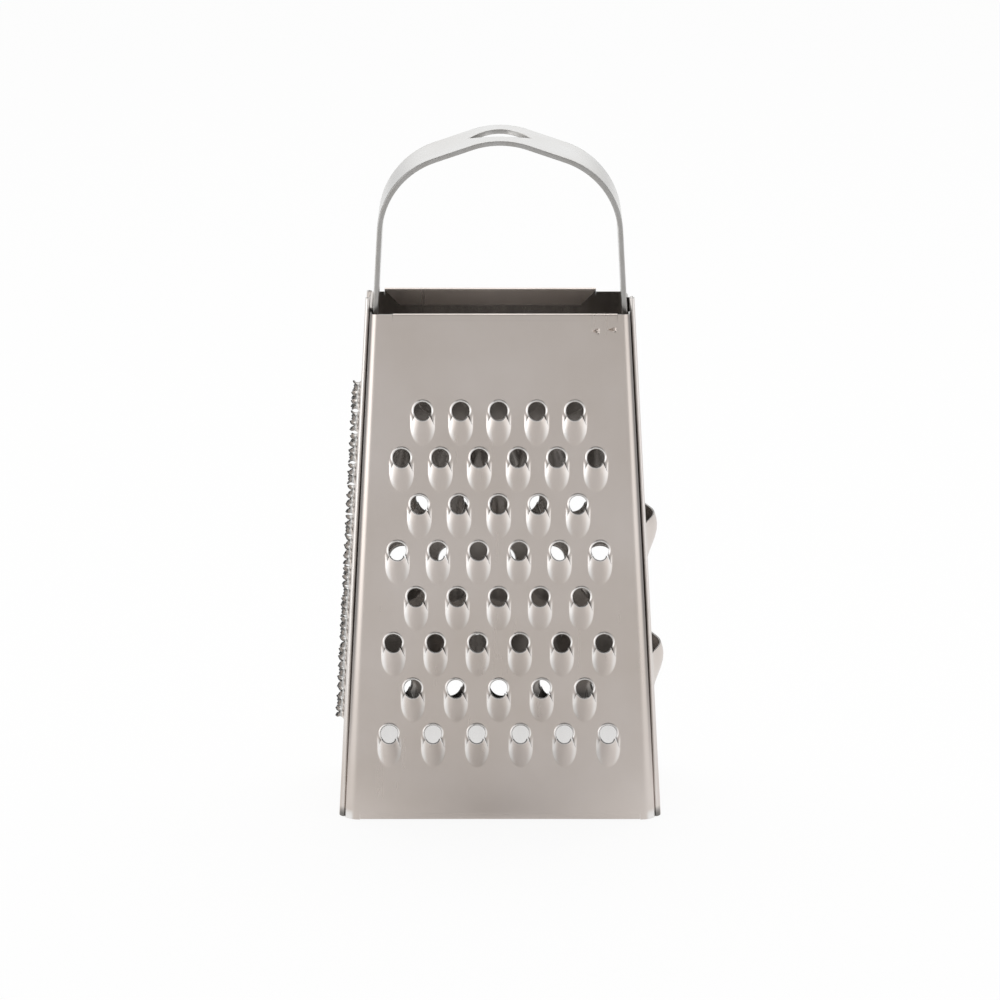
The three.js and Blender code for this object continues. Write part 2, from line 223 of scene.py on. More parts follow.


# How strongly a seam's column carries painted highlight or painted shade at each of its rows, from its
# lower end to above the body
def seamMarks(atFoot, higher, fade, zHigh, atEnd):
    marks = []
    for share in seam["rows"]:
        z = share * zHigh
        grown = ease((z - fade["low"]) / fade["rise"])
        above = ease((z - seam["markTop"]) / seam["markFade"])
        end = 1 - ease((z - seam["endHeight"]) / seam["endFade"])
        mark = lerp(lerp(atFoot, higher, grown), fade["above"], above)
        marks.append(max(mark, atEnd * end))
    return marks


print("sizes ready")


# Materials

# Satin rolled sheet: warm grey, faint upright brush marks and smudges, with painted highlights and
# painted shade carried by marks on its points
satinLook = {
    "color": (0.66, 0.6, 0.562),
    "roughness": 0.3,
    "roughnessSpread": 0.03,
    "streakScale": (900.0, 900.0, 14.0),
    "smudgeScale": 38.0,
    "bump": 0.008,
    # the colours of the painted highlight and of the painted shade
    "marks": {"paintedSheen": (0.9, 0.89, 0.88), "shade": (0.12, 0.117, 0.114)},
}
# The sheet's inner side is smoother and painted darker, a painted shade for the inside of the tube,
# with painted shade near its foot and a painted reflection on its rim on the coarse panel
innerLook = dict(satinLook, color=(0.44, 0.411, 0.39), roughness=0.24, bump=0.0, marks={})
innerLook["foot"] = {
    "paintedShadeColor": (0.1, 0.095, 0.09),
    "darkReach": (19.0, 16.0),
    "paintedSheenColor": (0.82, 0.81, 0.8),
    "brightReach": (11.6, 10.2),
    "behind": (-2.0, 4.0),
}
brightLook = {
    "color": (0.74, 0.735, 0.725),
    "roughness": 0.26,
    "roughnessSpread": 0.02,
    "streakScale": (90.0, 1400.0, 90.0),
    "smudgeScale": 60.0,
    "bump": 0.0,
    "marks": {},
}
cutLook = {
    "color": (0.5, 0.492, 0.482),
    "roughness": 0.36,
    "roughnessSpread": 0.1,
    "streakScale": (2500.0, 2500.0, 2500.0),
    "smudgeScale": 300.0,
    "bump": 0.02,
    "marks": {},
}
# Torn burr points are painted dark, a painted shade among the curled points; they glint under the lamps
tornShadedLook = dict(cutLook, color=(0.11, 0.108, 0.105), roughness=0.16, roughnessSpread=0.04)
# What all the steels share: smudges tint them towards a lighter and cooler grey, and dull them
grain = {
    "streakDetail": 1.5,
    "smudgeDetail": 4.0,
    "tintReach": (0.3, 0.72),
    "tints": ((0.93, 0.92, 0.9), (1.05, 1.06, 1.07)),
    "dullReach": (0.7, 1.3),
    "bumpDistance": 0.0002,
}


# Short ways to add nodes to the tree of a material or of the world
class NodeTools:
    def __init__(self, tree, coordinates):
        self.nodes = tree.nodes
        self.links = tree.links
        self.place = self.nodes.new("ShaderNodeTexCoord").outputs[coordinates]

    def axes(self):
        split = self.nodes.new("ShaderNodeSeparateXYZ")
        self.links.new(self.place, split.inputs["Vector"])
        return [split.outputs[axis] for axis in "XYZ"]

    def noise(self, vector, scale, detail):
        made = self.nodes.new("ShaderNodeTexNoise")
        made.inputs["Scale"].default_value = scale
        made.inputs["Detail"].default_value = detail
        self.links.new(vector, made.inputs["Vector"])
        return made.outputs["Fac"]

    def ramp(self, socket, reach, result=(0.0, 1.0)):
        made = self.nodes.new("ShaderNodeMapRange")
        made.inputs["From Min"].default_value, made.inputs["From Max"].default_value = reach
        made.inputs["To Min"].default_value, made.inputs["To Max"].default_value = result
        self.links.new(socket, made.inputs["Value"])
        return made.outputs["Result"]

    def join(self, operation, first, second):
        made = self.nodes.new("ShaderNodeMath")
        made.operation = operation
        for socket, value in zip(made.inputs, (first, second)):
            if isinstance(value, float):
                socket.default_value = value
            else:
                self.links.new(value, socket)
        return made.outputs["Value"]

    # Mixes two colours, each written out or given as a socket
    def mix(self, factor, base, other):
        made = self.nodes.new("ShaderNodeMix")
        made.data_type = "RGBA"
        self.links.new(factor, made.inputs["Factor"])
        for name, color in (("A", base), ("B", other)):
            if isinstance(color, tuple):
                made.inputs[name].default_value = (*color, 1)
            else:
                self.links.new(color, made.inputs[name])
        return made.outputs["Result"]


# Paints shade on the inner side near its foot, and paints a bright reflection on the rim of the panel
# at the back
def footShadeAndSheen(tools, color, foot):
    _, y, z = tools.axes()
    dark, bright, behind = (
        [value * mm for value in foot[name]] for name in ("darkReach", "brightReach", "behind")
    )
    color = tools.mix(tools.ramp(z, dark), color, foot["paintedShadeColor"])
    rim = tools.join("MULTIPLY", tools.ramp(z, bright), tools.ramp(y, behind))
    return tools.mix(rim, color, foot["paintedSheenColor"])


def steelMaterial(title, look):
    material = bpy.data.materials.new(title)
    material.use_nodes = True
    nodes = material.node_tree.nodes
    links = material.node_tree.links
    shader = nodes["Principled BSDF"]
    shader.inputs["Metallic"].default_value = 1.0
    tools = NodeTools(material.node_tree, "Object")
    stretch = nodes.new("ShaderNodeMapping")
    stretch.inputs["Scale"].default_value = look["streakScale"]
    links.new(tools.place, stretch.inputs["Vector"])
    streaks = tools.noise(stretch.outputs["Vector"], 1.0, grain["streakDetail"])
    smudges = tools.noise(tools.place, look["smudgeScale"], grain["smudgeDetail"])
    tint = nodes.new("ShaderNodeValToRGB")
    stops = tint.color_ramp.elements
    for stop, position, factors in zip(stops, grain["tintReach"], grain["tints"]):
        stop.position = position
        stop.color = (*(a * b for a, b in zip(look["color"], factors)), 1)
    links.new(smudges, tint.inputs["Fac"])
    color = tint.outputs["Color"]
    # painted highlights and painted shade, carried as marks on the points, are mixed into the colour
    for name, markColor in look["marks"].items():
        mark = nodes.new("ShaderNodeAttribute")
        mark.attribute_name = name
        color = tools.mix(mark.outputs["Fac"], color, markColor)
    if "foot" in look:
        color = footShadeAndSheen(tools, color, look["foot"])
    links.new(color, shader.inputs["Base Color"])
    dull, spread = look["roughness"], look["roughnessSpread"]
    uneven = tools.join("ADD", streaks, smudges)
    roughness = tools.ramp(uneven, grain["dullReach"], (dull - spread, dull + spread))
    links.new(roughness, shader.inputs["Roughness"])
    bump = nodes.new("ShaderNodeBump")
    bump.inputs["Strength"].default_value = look["bump"]
    bump.inputs["Distance"].default_value = grain["bumpDistance"]
    links.new(streaks, bump.inputs["Height"])
    links.new(bump.outputs["Normal"], shader.inputs["Normal"])
    return material


satinSteel = steelMaterial("satinSteel", satinLook)
brightSteel = steelMaterial("brightSteel", brightLook)
innerSteel = steelMaterial("innerSteel", innerLook)
cutSteel = steelMaterial("cutSteel", cutLook)
tornSteel = steelMaterial("tornSteel", tornShadedLook)
print("materials ready")


# Presses: a tree that stamps one tooth at every place of a panel and welds it into the blank
weldDistance = 0.002 * mm
cutDistance = 1e-7
normalWeight = 80  # large faces lead when normals are levelled
tornSlot = 3  # the sheets' materials are satin, inner, cut and torn steel


def pressTree():
    tree = bpy.data.node_groups.new("pressedSheet", "GeometryNodeTree")
    sockets = {}
    tree.interface.new_socket("Places", in_out="INPUT", socket_type="NodeSocketGeometry")
    for label, kind in (
        ("Tooth", "NodeSocketObject"),
        ("Blank", "NodeSocketObject"),
        ("Turn Step", "NodeSocketFloat"),
        ("Turns", "NodeSocketInt"),
        ("Seed", "NodeSocketInt"),
        ("Weld Distance", "NodeSocketFloat"),
        ("Steel", "NodeSocketMaterial"),
    ):
        made = tree.interface.new_socket(label, in_out="INPUT", socket_type=kind)
        sockets[label] = made.identifier
    tree.interface.new_socket("Sheet", in_out="OUTPUT", socket_type="NodeSocketGeometry")
    nodes = tree.nodes
    links = tree.links
    given = nodes.new("NodeGroupInput")
    result = nodes.new("NodeGroupOutput")
    tooth = nodes.new("GeometryNodeObjectInfo")
    blank = nodes.new("GeometryNodeObjectInfo")
    links.new(given.outputs["Tooth"], tooth.inputs["Object"])
    links.new(given.outputs["Blank"], blank.inputs["Object"])
    chance = nodes.new("FunctionNodeRandomValue")
    chance.data_type = "INT"  # its whole numbers are inputs 4 and 5 and output 2
    chance.inputs[4].default_value = 0
    links.new(given.outputs["Turns"], chance.inputs[5])
    links.new(given.outputs["Seed"], chance.inputs["Seed"])
    angle = nodes.new("ShaderNodeMath")
    angle.operation = "MULTIPLY"
    links.new(chance.outputs[2], angle.inputs[0])
    links.new(given.outputs["Turn Step"], angle.inputs[1])
    turn = nodes.new("ShaderNodeCombineXYZ")
    links.new(angle.outputs["Value"], turn.inputs["Z"])
    stamp = nodes.new("GeometryNodeInstanceOnPoints")
    links.new(given.outputs["Places"], stamp.inputs["Points"])
    links.new(tooth.outputs["Geometry"], stamp.inputs["Instance"])
    links.new(turn.outputs["Vector"], stamp.inputs["Rotation"])
    joined = nodes.new("GeometryNodeJoinGeometry")
    links.new(blank.outputs["Geometry"], joined.inputs["Geometry"])
    links.new(stamp.outputs["Instances"], joined.inputs["Geometry"])
    real = nodes.new("GeometryNodeRealizeInstances")
    links.new(joined.outputs["Geometry"], real.inputs["Geometry"])
    weld = nodes.new("GeometryNodeMergeByDistance")
    links.new(real.outputs["Geometry"], weld.inputs["Geometry"])
    links.new(given.outputs["Weld Distance"], weld.inputs["Distance"])
    soft = nodes.new("GeometryNodeSetShadeSmooth")
    links.new(weld.outputs["Geometry"], soft.inputs["Geometry"])
    steel = nodes.new("GeometryNodeSetMaterial")
    links.new(soft.outputs["Geometry"], steel.inputs["Geometry"])
    links.new(given.outputs["Steel"], steel.inputs["Material"])
    links.new(steel.outputs["Geometry"], result.inputs["Sheet"])
    return tree, sockets


pressNodes, pressSockets = pressTree()


# Turns an object's evaluated shape into its plain mesh
def settle(made):
    bpy.context.view_layer.update()
    graph = bpy.context.evaluated_depsgraph_get()
    mesh = bpy.data.meshes.new_from_object(
        made.evaluated_get(graph), preserve_all_data_layers=True, depsgraph=graph
    )
    made.modifiers.clear()
    made.data = mesh
    return made


# Welds points that meet and turns all faces of a sheet the same way, outwards
def tidySheet(made):
    joined = bmesh.new()
    joined.from_mesh(made.data)
    bmesh.ops.remove_doubles(joined, verts=joined.verts[:], dist=weldDistance)
    bmesh.ops.recalc_face_normals(joined, faces=joined.faces[:])
    if sum(face.normal.z * face.calc_area() for face in joined.faces) < 0:
        bmesh.ops.reverse_faces(joined, faces=joined.faces[:])
    joined.to_mesh(made.data)
    joined.free()


# Thickens a sheet about its middle, with an inner side of its own and cut edges.
# True corners stay sharp.
def thicken(made, thickness, cornerDegrees):
    tidySheet(made)
    for steel in (innerSteel, cutSteel, tornSteel):
        made.data.materials.append(steel)
    wall = made.modifiers.new("wall", "SOLIDIFY")
    wall.thickness = thickness * mm
    wall.offset = 0.0
    wall.use_even_offset = True
    wall.material_offset = 1
    wall.material_offset_rim = 2
    settle(made)
    made.data.set_sharp_from_angle(angle=math.radians(cornerDegrees))
    level = made.modifiers.new("level", "WEIGHTED_NORMAL")
    level.mode = "FACE_AREA"
    level.keep_sharp = True
    level.weight = normalWeight
    return settle(made)


# Bows a side panel outwards between its seams and leans its ear in, the way a thin sheet springs
def springSide(panel, spring):
    cut = bmesh.new()
    cut.from_mesh(panel.data)
    lines = [((u * mm, 0, 0), (1, 0, 0)) for u in spring["across"]]
    lines += [((0, v * mm, 0), (0, 1, 0)) for v in spring["along"]]
    for place, normal in lines:
        every = cut.verts[:] + cut.edges[:] + cut.faces[:]
        bmesh.ops.bisect_plane(cut, geom=every, dist=cutDistance, plane_co=place, plane_no=normal)
    for vert in cut.verts:
        u, v, n = (number / mm for number in vert.co)
        across = u / (halfDepth(v) - noseDepth(v))
        along = ease(v / spring["rootLow"]) * ease((spring["top"] - v) / spring["rootHigh"])
        shift = spring["bow"] * max(0.0, 1 - across * across) * along
        if v > spring["earFoot"]:
            isLeg = n < spring["legBelow"]
            lean = 1.0 if isLeg else ease((v - spring["earFoot"]) / spring["earRise"])
            shift -= spring["earLean"] * lean * ease(spring["earReach"] - abs(u))
        vert.co.z += shift * mm
    cut.to_mesh(panel.data)
    cut.free()
    for face in panel.data.polygons:
        if face.center.z > spring["tornAbove"] * mm:
            face.material_index = tornSlot


# Stamps a panel: the blank with its openings, the teeth at their places,
# then its wall and its turn into place
def pressPanel(name, blank, tooth, places, reach, turnDegrees, press):
    dots = bpy.data.meshes.new(name)
    dots.from_pydata([(u * mm, v * mm, 0) for u, v in places], [], [])
    panel = bpy.data.objects.new(name, dots)
    scene.collection.objects.link(panel)
    modifier = panel.modifiers.new("press", "NODES")
    modifier.node_group = pressNodes
    for label, value in (
        ("Tooth", tooth),
        ("Blank", blank),
        ("Turn Step", press["turnStep"]),
        ("Turns", press["turns"]),
        ("Seed", press["seed"]),
        ("Weld Distance", weldDistance),
        ("Steel", satinSteel),
    ):
        modifier[pressSockets[label]] = value
    settle(panel)
    for spare in (blank, tooth):
        bpy.data.objects.remove(spare)
    if press["spring"]:
        springSide(panel, press["spring"])
    thicken(panel, body["sheet"], press["cornerDegrees"])
    place = faceMatrix(reach)
    place.translation *= mm
    panel.data.transform(Matrix.Rotation(math.radians(turnDegrees), 4, "Z") @ place)
    print("pressed", name, len(panel.data.polygons), "faces")
    return panel


# Teeth of the medium and coarse panels: a scoop below each hole,
# with a slit at both ends of its cutting lip
mediumTooth = {
    "hole": 3.62,
    "least": 2.62,
    "tail": 7.1,
    "swell": 11,
    "lipHeight": 1.15,
    "ridgePower": 0.75,
    "archPower": 1.9,
    "slitAngle": 30,
    "slitOutAngle": 55,
    "slitShare": 0.8,
    "slitPower": 3,
    "slitGaps": (0.09, 0.32),
    "slitFade": 42,
    "slitShade": (0.3, 1.0),
    "slitShadeReach": 16,
    "lipDrop": 0.0,
    "lipSheen": 0.16,
    "flankSheen": (0.8, 0.5),
    "flankReach": (0.5, 0.85),
    "flankEnd": (0.92, 1.0),
    "flankStart": 0.5,
    "flankTail": 2.6,
    "edgeShade": 0.7,
    "edgeWidth": 0.07,
    "beadHeight": 0.12,
    "beadPlace": 0.2,
    "beadWidth": 0.13,
    "margin": 0.2,
    "nearRings": (0.0, 0.06, 0.13, 0.21, 0.32, 0.48),
    "farRings": (0.1, 0.22, 0.36, 0.5, 0.64, 0.78, 0.9, 1.0),
    "upperSteps": 30,
    "lowerSteps": 16,
}
coarseTooth = dict(mediumTooth)
coarseTooth.update(
    hole=5.9,
    least=3.9,
    tail=9.3,
    swell=6,
    lipHeight=1.8,
    slitGaps=(0.08, 0.08),
    lipDrop=0.75,
    beadHeight=0.18,
    margin=0.25,
)


leastWidth = 0.001


class Tooth:
    def __init__(self, look):
        self.look = look
        self.radius = look["hole"] / 2
        # the sheet goes round the hole above the slits, and the lip below them
        slit, out = look["slitAngle"], look["slitOutAngle"]
        self.upper = self.fan(90, 90 + slit, 90 + out, look["upperSteps"])
        self.lower = self.fan(270, 90 - slit, 90 - out, look["lowerSteps"])
        self.lipLevel = -self.radius * math.sin(math.radians(slit))

    # Angles at the hole's edge and on the outline, spread evenly about a middle one
    def fan(self, middle, span, outSpan, steps):
        shares = [i / steps for i in range(steps + 1)]
        return [
            (middle + lerp(-span, span, share), middle + lerp(-outSpan, outSpan, share))
            for share in shares
        ]

    def outlineAt(self, degrees, margin=0.0):
        angle = math.radians(degrees)
        low = (1 - math.sin(angle)) / 2
        look = self.look
        reach = look["least"] + (look["tail"] - look["least"]) * low ** look["swell"] + margin
        return Vector((reach * math.cos(angle), reach * math.sin(angle)))

    # Half the outline's width at a level, from points a degree apart
    def widthAt(self, level):
        below = self.outlineAt(-90)
        for degrees in range(-89, 91):
            above = self.outlineAt(degrees)
            if above.y >= level:
                share = (level - below.y) / (above.y - below.y)
                return lerp(below.x, above.x, max(share, 0.0))
            below = above
        return below.x

    # A place's share of the way from the ridge to the outline, level with it
    def acrossAt(self, place):
        return min(1.0, abs(place.x) / max(self.widthAt(place.y), leastWidth))

    # How far the scoop stands out of the sheet: an arch across it that falls towards its tail
    def archLift(self, place):
        look = self.look
        fall = (place.y + look["tail"]) / (self.lipLevel + look["tail"])
        ridge = min(1.0, max(0.0, fall)) ** look["ridgePower"]
        return look["lipHeight"] * ridge * (1 - self.acrossAt(place) ** look["archPower"])

    # How bright the painted highlight is on a flank of the scoop, brighter on the left, beside its
    # ridge and short of its tail
    def flankSheen(self, place):
        look = self.look
        across = self.acrossAt(place)
        sheenLevel = look["flankSheen"][int(place.x > 0)] * grow(across, look["flankReach"])
        sheenLevel *= 1 - grow(across, look["flankEnd"])
        sheenLevel *= ease((self.lipLevel - place.y) / look["flankStart"])
        return sheenLevel * ease((place.y + look["tail"]) / look["flankTail"])

    # The border where the tooth meets the flat sheet, anticlockwise
    def border(self):
        turns = [out for _, out in self.upper] + [out for _, out in self.lower[1:-1]]
        return [self.outlineAt(out, self.look["margin"]) for out in turns]

    # One column of points from the hole's edge to the border, each with its painted highlight and
    # painted shade marks
    def column(self, inner, out, isLip):
        look = self.look
        angle = math.radians(inner)
        start = Vector((math.cos(angle), math.sin(angle))) * self.radius
        side = (inner - 270) / (90 - look["slitAngle"])
        if isLip:
            start.y -= look["lipDrop"] * (1 - side * side)
        end = self.outlineAt(out)
        length = (end - start).length
        nearShares = [near / length for near in look["nearRings"]]
        farShares = [lerp(nearShares[-1], 1.0, far) for far in look["farRings"]]
        fromSlit = abs(abs(inner - 90) - 90 - look["slitAngle"])
        fade = 1 - ease(fromSlit / look["slitFade"])
        # painted shade on the sheet beside each slit, stronger on the right
        shadeLevel = 1 - ease(fromSlit / look["slitShadeReach"])
        shadeLevel *= look["slitShade"][int(math.cos(angle) > 0)]
        points = []
        marks = []
        shades = []
        for share in nearShares + farShares:
            place = start.lerp(end, share)
            near = share * length
            arch = self.archLift(place)
            # a thin painted shade line along the hole's edge
            edge = look["edgeShade"] if near < look["edgeWidth"] else 0.0
            if isLip:
                lift = arch
                wide = look["slitGaps"][int(side > 0)] * abs(side) ** look["slitPower"]
                wide *= max(0.0, 1 - share / look["slitShare"])
                place = place + Vector((-math.copysign(wide, side), 0))
                # a painted highlight along the lip's cutting edge
                edgeSheen = math.exp(-((near / look["lipSheen"]) ** 2))
                marks.append(max(edgeSheen, self.flankSheen(place)))
                shades.append(edge)
            else:
                # the bead round the hole carries a painted highlight
                bead = math.exp(-(((near - look["beadPlace"]) / look["beadWidth"]) ** 2))
                rise = fade * ease(share / look["slitShare"])
                lift = lerp(look["beadHeight"] * bead, arch, rise)
                marks.append(max(bead * bead * (1 - shadeLevel), rise * self.flankSheen(place)))
                shades.append(max(edge, shadeLevel * (1 - ease(share / look["slitShare"]))))
            points.append(Vector((place.x, place.y, lift + midFace)))
        rim = self.outlineAt(out, look["margin"])
        points.append(Vector((rim.x, rim.y, midFace)))
        marks.append(0.0)
        shades.append(0.0)
        return points, marks, shades

    def toObject(self, name):
        drawn = Sheet()
        for turns, isLip in ((self.upper, False), (self.lower, True)):
            columns = [self.column(inner, out, isLip) for inner, out in turns]
            points, marks, shades = zip(*columns)
            drawn.addGrid(points, paintedSheen=marks, shade=shades)
        drawn.faces = [tuple(reversed(face)) for face in drawn.faces]
        return drawn.toObject(name)


# Places of a punch: level rows that fan out downwards, with one punch fewer in every second row
def fanRows(rows):
    places = []
    for row in range(rows["rows"]):
        pitch = lerp(rows["pitchBottom"], rows["pitchTop"], row / max(rows["rows"] - 1, 1))
        inRow = rows["count"] - row % 2
        for i in range(inRow):
            u = (i - (inRow - 1) / 2) * pitch + rows["shift"]
            places.append((u, rows["first"] + row * rows["rise"]))
    return places


mediumRows = {
    "rows": 8,
    "first": 18.3,
    "rise": 9.55,
    "pitchBottom": 8.8,
    "pitchTop": 7.5,
    "count": 6,
    "shift": -0.25,
}
coarseRows = {
    "rows": 6,
    "first": 18.6,
    "rise": 13.7,
    "pitchBottom": 10.8,
    "pitchTop": 9.0,
    "count": 5,
    "shift": -0.3,
}


# Hems: the sheet creased along its edge, turned in over a small radius and brought down inside
hem = {
    "height": 3.4,
    "gap": 0.15,
    "creases": ((1.9, 0.0), (1.6, 0.01), (1.3, 0.02), (1.05, -0.08), (0.82, 0.02), (0.6, -0.08)),
    "legLean": 0.25,
    "foot": 0.04,
    "foldSteps": 8,
    "columns": 9,
    "notch": 0.05,
    "endRoom": 0.4,
}
hemRadius = (body["sheet"] + hem["gap"]) / 2
hemTop = hemRadius + body["sheet"] / 2


# The hem's section from its root on the face to the end of its inner leg,
# as depth below the edge and lift
def hemSection():
    section = [(depth, midFace + lift) for depth, lift in hem["creases"]]
    for step in range(hem["foldSteps"] + 1):
        angle = math.pi * step / hem["foldSteps"]
        depth = hemTop - hemRadius * math.sin(angle)
        section.append((depth, midFace - hemRadius * (1 - math.cos(angle))))
    section.append((hem["height"], midFace - 2 * hemRadius - hem["legLean"]))
    return section


# A hem from one end to the other, at the top edge or the lower one, with mitred ends on its inner leg
def addHem(drawn, edge, inward, ends):
    columns = hem["columns"]
    rows = []
    for depth, lift in hemSection():
        isLeg = lift < midFace - hemRadius
        mitre = max(0.0, depth - hemTop) if isLeg else 0.0
        low, high = ends[0] + mitre, ends[1] - mitre
        v = edge + inward * depth
        row = []
        for i in range(columns):
            isEnd = i in (0, columns - 1) and not isLeg and depth > hemTop
            row.append((lerp(low, high, i / (columns - 1)), v, midFace if isEnd else lift))
        rows.append(row)
    if inward > 0:
        rows = [row[::-1] for row in rows]
    drawn.addGrid(rows)
    root = rows[0]
    return [(u, v) for u, v, _ in root]


# A small dent with three rounded corners, as rings with their sizes and depths
dentForm = {
    "rings": ((1.0, 0.0), (0.85, 0.02), (0.6, 0.5), (0.35, 0.9), (0.08, 1.0)),
    "steps": 24,
    "corners": 3,
    "waist": 0.22,
}


# The return value is the dent's border
def addDent(drawn, u, v, width, height, depth):
    rings = []
    waist = dentForm["waist"]
    for size, sink in dentForm["rings"]:
        ring = []
        for step in range(dentForm["steps"]):
            angle = 2 * math.pi * step / dentForm["steps"]
            reach = size * (1 - waist + waist * math.cos(dentForm["corners"] * angle))
            place = (u + reach * width * math.cos(angle), v + reach * height * math.sin(angle))
            ring.append(Vector((*place, midFace - depth * sink)))
        rings.append(ring)
    drawn.addGrid(rings, closed=True)
    return [(point.x, point.y) for point in rings[0]]


# Adds the mirror image of a seam strip, with its marks
def addMirrored(drawn, columns, sheenMarks, shades):
    mirrored = [[Vector((-p.x, p.y, p.z)) for p in column] for column in reversed(columns)]
    drawn.addGrid(mirrored, paintedSheen=sheenMarks[::-1], shade=shades[::-1])


# A punch's border at each of its places
def atPlaces(border, places):
    return [[(u + point[0], v + point[1]) for point in border] for u, v in places]


# Sections of a rounded corner and its hooked flange, at the foot and at the top of the body
def flangePaths():
    paths = []
    half = body["sheet"] / 2
    for z in (0.0, body["height"]):
        flange = halfWidth(z) - half
        hook = halfWidth(z) + 2 * seam["gap"] + 3 * half
        face = -halfDepth(z) + half
        back = -halfDepth(z) + seam["flange"] - half
        end = -halfDepth(z) + noseDepth(z) + body["sheet"] + seam["endGap"]
        bendRadius = lerp(seam["bendBottom"], seam["bendTop"], z / body["height"])
        shoulder = halfWidth(z) - bendRadius - seam["shoulder"]
        bend = roundedPath(
            [Vector((shoulder, face)), Vector((flange, face)), Vector((flange, back))],
            [bendRadius - half],
            seam["bendSteps"],
        )
        fold = roundedPath(
            [Vector((flange, face)), Vector((flange, back)), Vector((hook, back)), Vector((hook, end))],
            foldRadii,
            seam["foldSteps"],
        )
        paths.append(bend[:-1] + fold[1:])
    return paths


# The columns of a corner and its flange, with their painted highlights and painted shade
def flangeColumns(cornerDrop, toFace):
    columns = []
    sheenMarks = []
    shades = []
    paths = flangePaths()
    bendStart = paths[0][0].x
    bendEnd = paths[0][seam["bendSteps"] + 2].x
    for i, (low, high) in enumerate(zip(*paths)):
        reach = min(1.0, max(0.0, (low.x - bendStart) / (bendEnd - bendStart)))
        fall = 1 - math.sqrt(1 - reach * reach * shortOfFull)
        zHigh = body["height"] - cornerDrop - seam["drop"] * fall
        tuck = seam["tuck"] * math.sin(math.pi * reach)
        columns.append(columnPoints(low, high, hem["foot"], zHigh, toFace, tuck))
        turned = (i - 1) / seam["bendSteps"]
        # painted shade on the far side of the bend, a painted highlight in the groove near the foot and
        # a painted glint at the bend's foot
        shadeLevel = seam["shadeLevel"] * grow(turned, seam["bendShade"])
        shades.append(seamMarks(0.0, shadeLevel, seam["shadeFade"], zHigh, 0.0))
        groove = seam["sheenAtFoot"] * grow(turned, seam["bendGroove"])
        nick = seam["endSheen"] * grow(turned, seam["nickRise"]) * grow(turned, seam["nickFall"])
        sheenMarks.append(seamMarks(groove, 0.0, dict(seam["sheenMarks"], above=0.0), zHigh, nick))
    return columns, sheenMarks, shades


# Blank of the medium or coarse panel: flat face, rounded corners, hooked flanges and hems
def hookedBlank(name, topEnds, lowEnds, cornerDrop, dents, holes):
    drawn = Sheet()
    toFace = faceMatrix(halfDepth).inverted()
    columns, sheenMarks, shades = flangeColumns(cornerDrop, toFace)
    drawn.addGrid(columns, paintedSheen=sheenMarks, shade=shades)
    addMirrored(drawn, columns, sheenMarks, shades)
    right = [(p.x, p.y) for p in columns[0]]
    left = [(-u, v) for u, v in right]
    topHem = addHem(drawn, slopeLength(halfDepth), -1, topEnds)
    lowHem = addHem(drawn, hem["foot"], 1, lowEnds)
    corner = right[-1][1]
    notch = hem["notch"]
    outline = (
        right
        + [(topEnds[1] + notch, corner)]
        + topHem[::-1]
        + [(topEnds[0] - notch, corner)]
        + left[::-1]
        + [(lowEnds[0] - notch, hem["foot"])]
        + lowHem[::-1]
        + [(lowEnds[1] + notch, hem["foot"])]
    )
    drawn.addFlat(outline, holes + [addDent(drawn, **dent) for dent in dents])
    return drawn.toObject(name)


plainPress = {"turnStep": 0.0, "turns": 0, "seed": 0, "cornerDegrees": 50, "spring": None}


def toothedPanel(name, look, rows, turnDegrees, edges):
    tooth = Tooth(look)
    places = fanRows(rows)
    blank = hookedBlank(name + "Blank", holes=atPlaces(tooth.border(), places), **edges)
    return pressPanel(
        name, blank, tooth.toObject(name + "Tooth"), places, halfDepth, turnDegrees, plainPress
    )


mediumEdges = {
    "topEnds": (-21.0, 23.0),
    "lowEnds": (-28.3, 28.3),
    "cornerDrop": 0.12,
    "dents": (
        {"u": 18.9, "v": 101.2, "width": -1.15, "height": 0.85, "depth": 0.45},
        {"u": 22.1, "v": 101.5, "width": -1.35, "height": 0.7, "depth": 0.45},
    ),
}
coarseEdges = {
    "topEnds": (-19.2, 23.1),
    "lowEnds": (-28.3, 28.3),
    "cornerDrop": 0.85,
    "dents": (),
}
mediumPanel = toothedPanel("mediumFace", mediumTooth, mediumRows, 0, mediumEdges)
coarsePanel = toothedPanel("coarseFace", coarseTooth, coarseRows, 180, coarseEdges)


# Side panels: hooks that close round the seams, a lower hem and a turned-in ear that holds the strap
ear = {
    "width": 13.2,
    "corner": 0.5,
    "legHeight": 5.1,
    "gap": 0.1,
    "steps": 8,
    "columns": 7,
}


def earRows(top):
    half = ear["width"] / 2
    flat = half - ear["corner"]
    radius = (ear["gap"] + body["sheet"]) / 2
    crown = top - radius - body["sheet"] / 2
    rows = []
    for step in range(ear["steps"] + 1):
        angle = math.pi * step / ear["steps"]
        rows.append((crown + radius * math.sin(angle), midFace - radius * (1 - math.cos(angle))))
    rows.append((top - ear["legHeight"], midFace - 2 * radius))
    last = ear["columns"] - 1
    columns = [lerp(-flat, flat, i / last) for i in range(ear["columns"])]
    return [[(u, v, n) for u in columns] for v, n in rows]


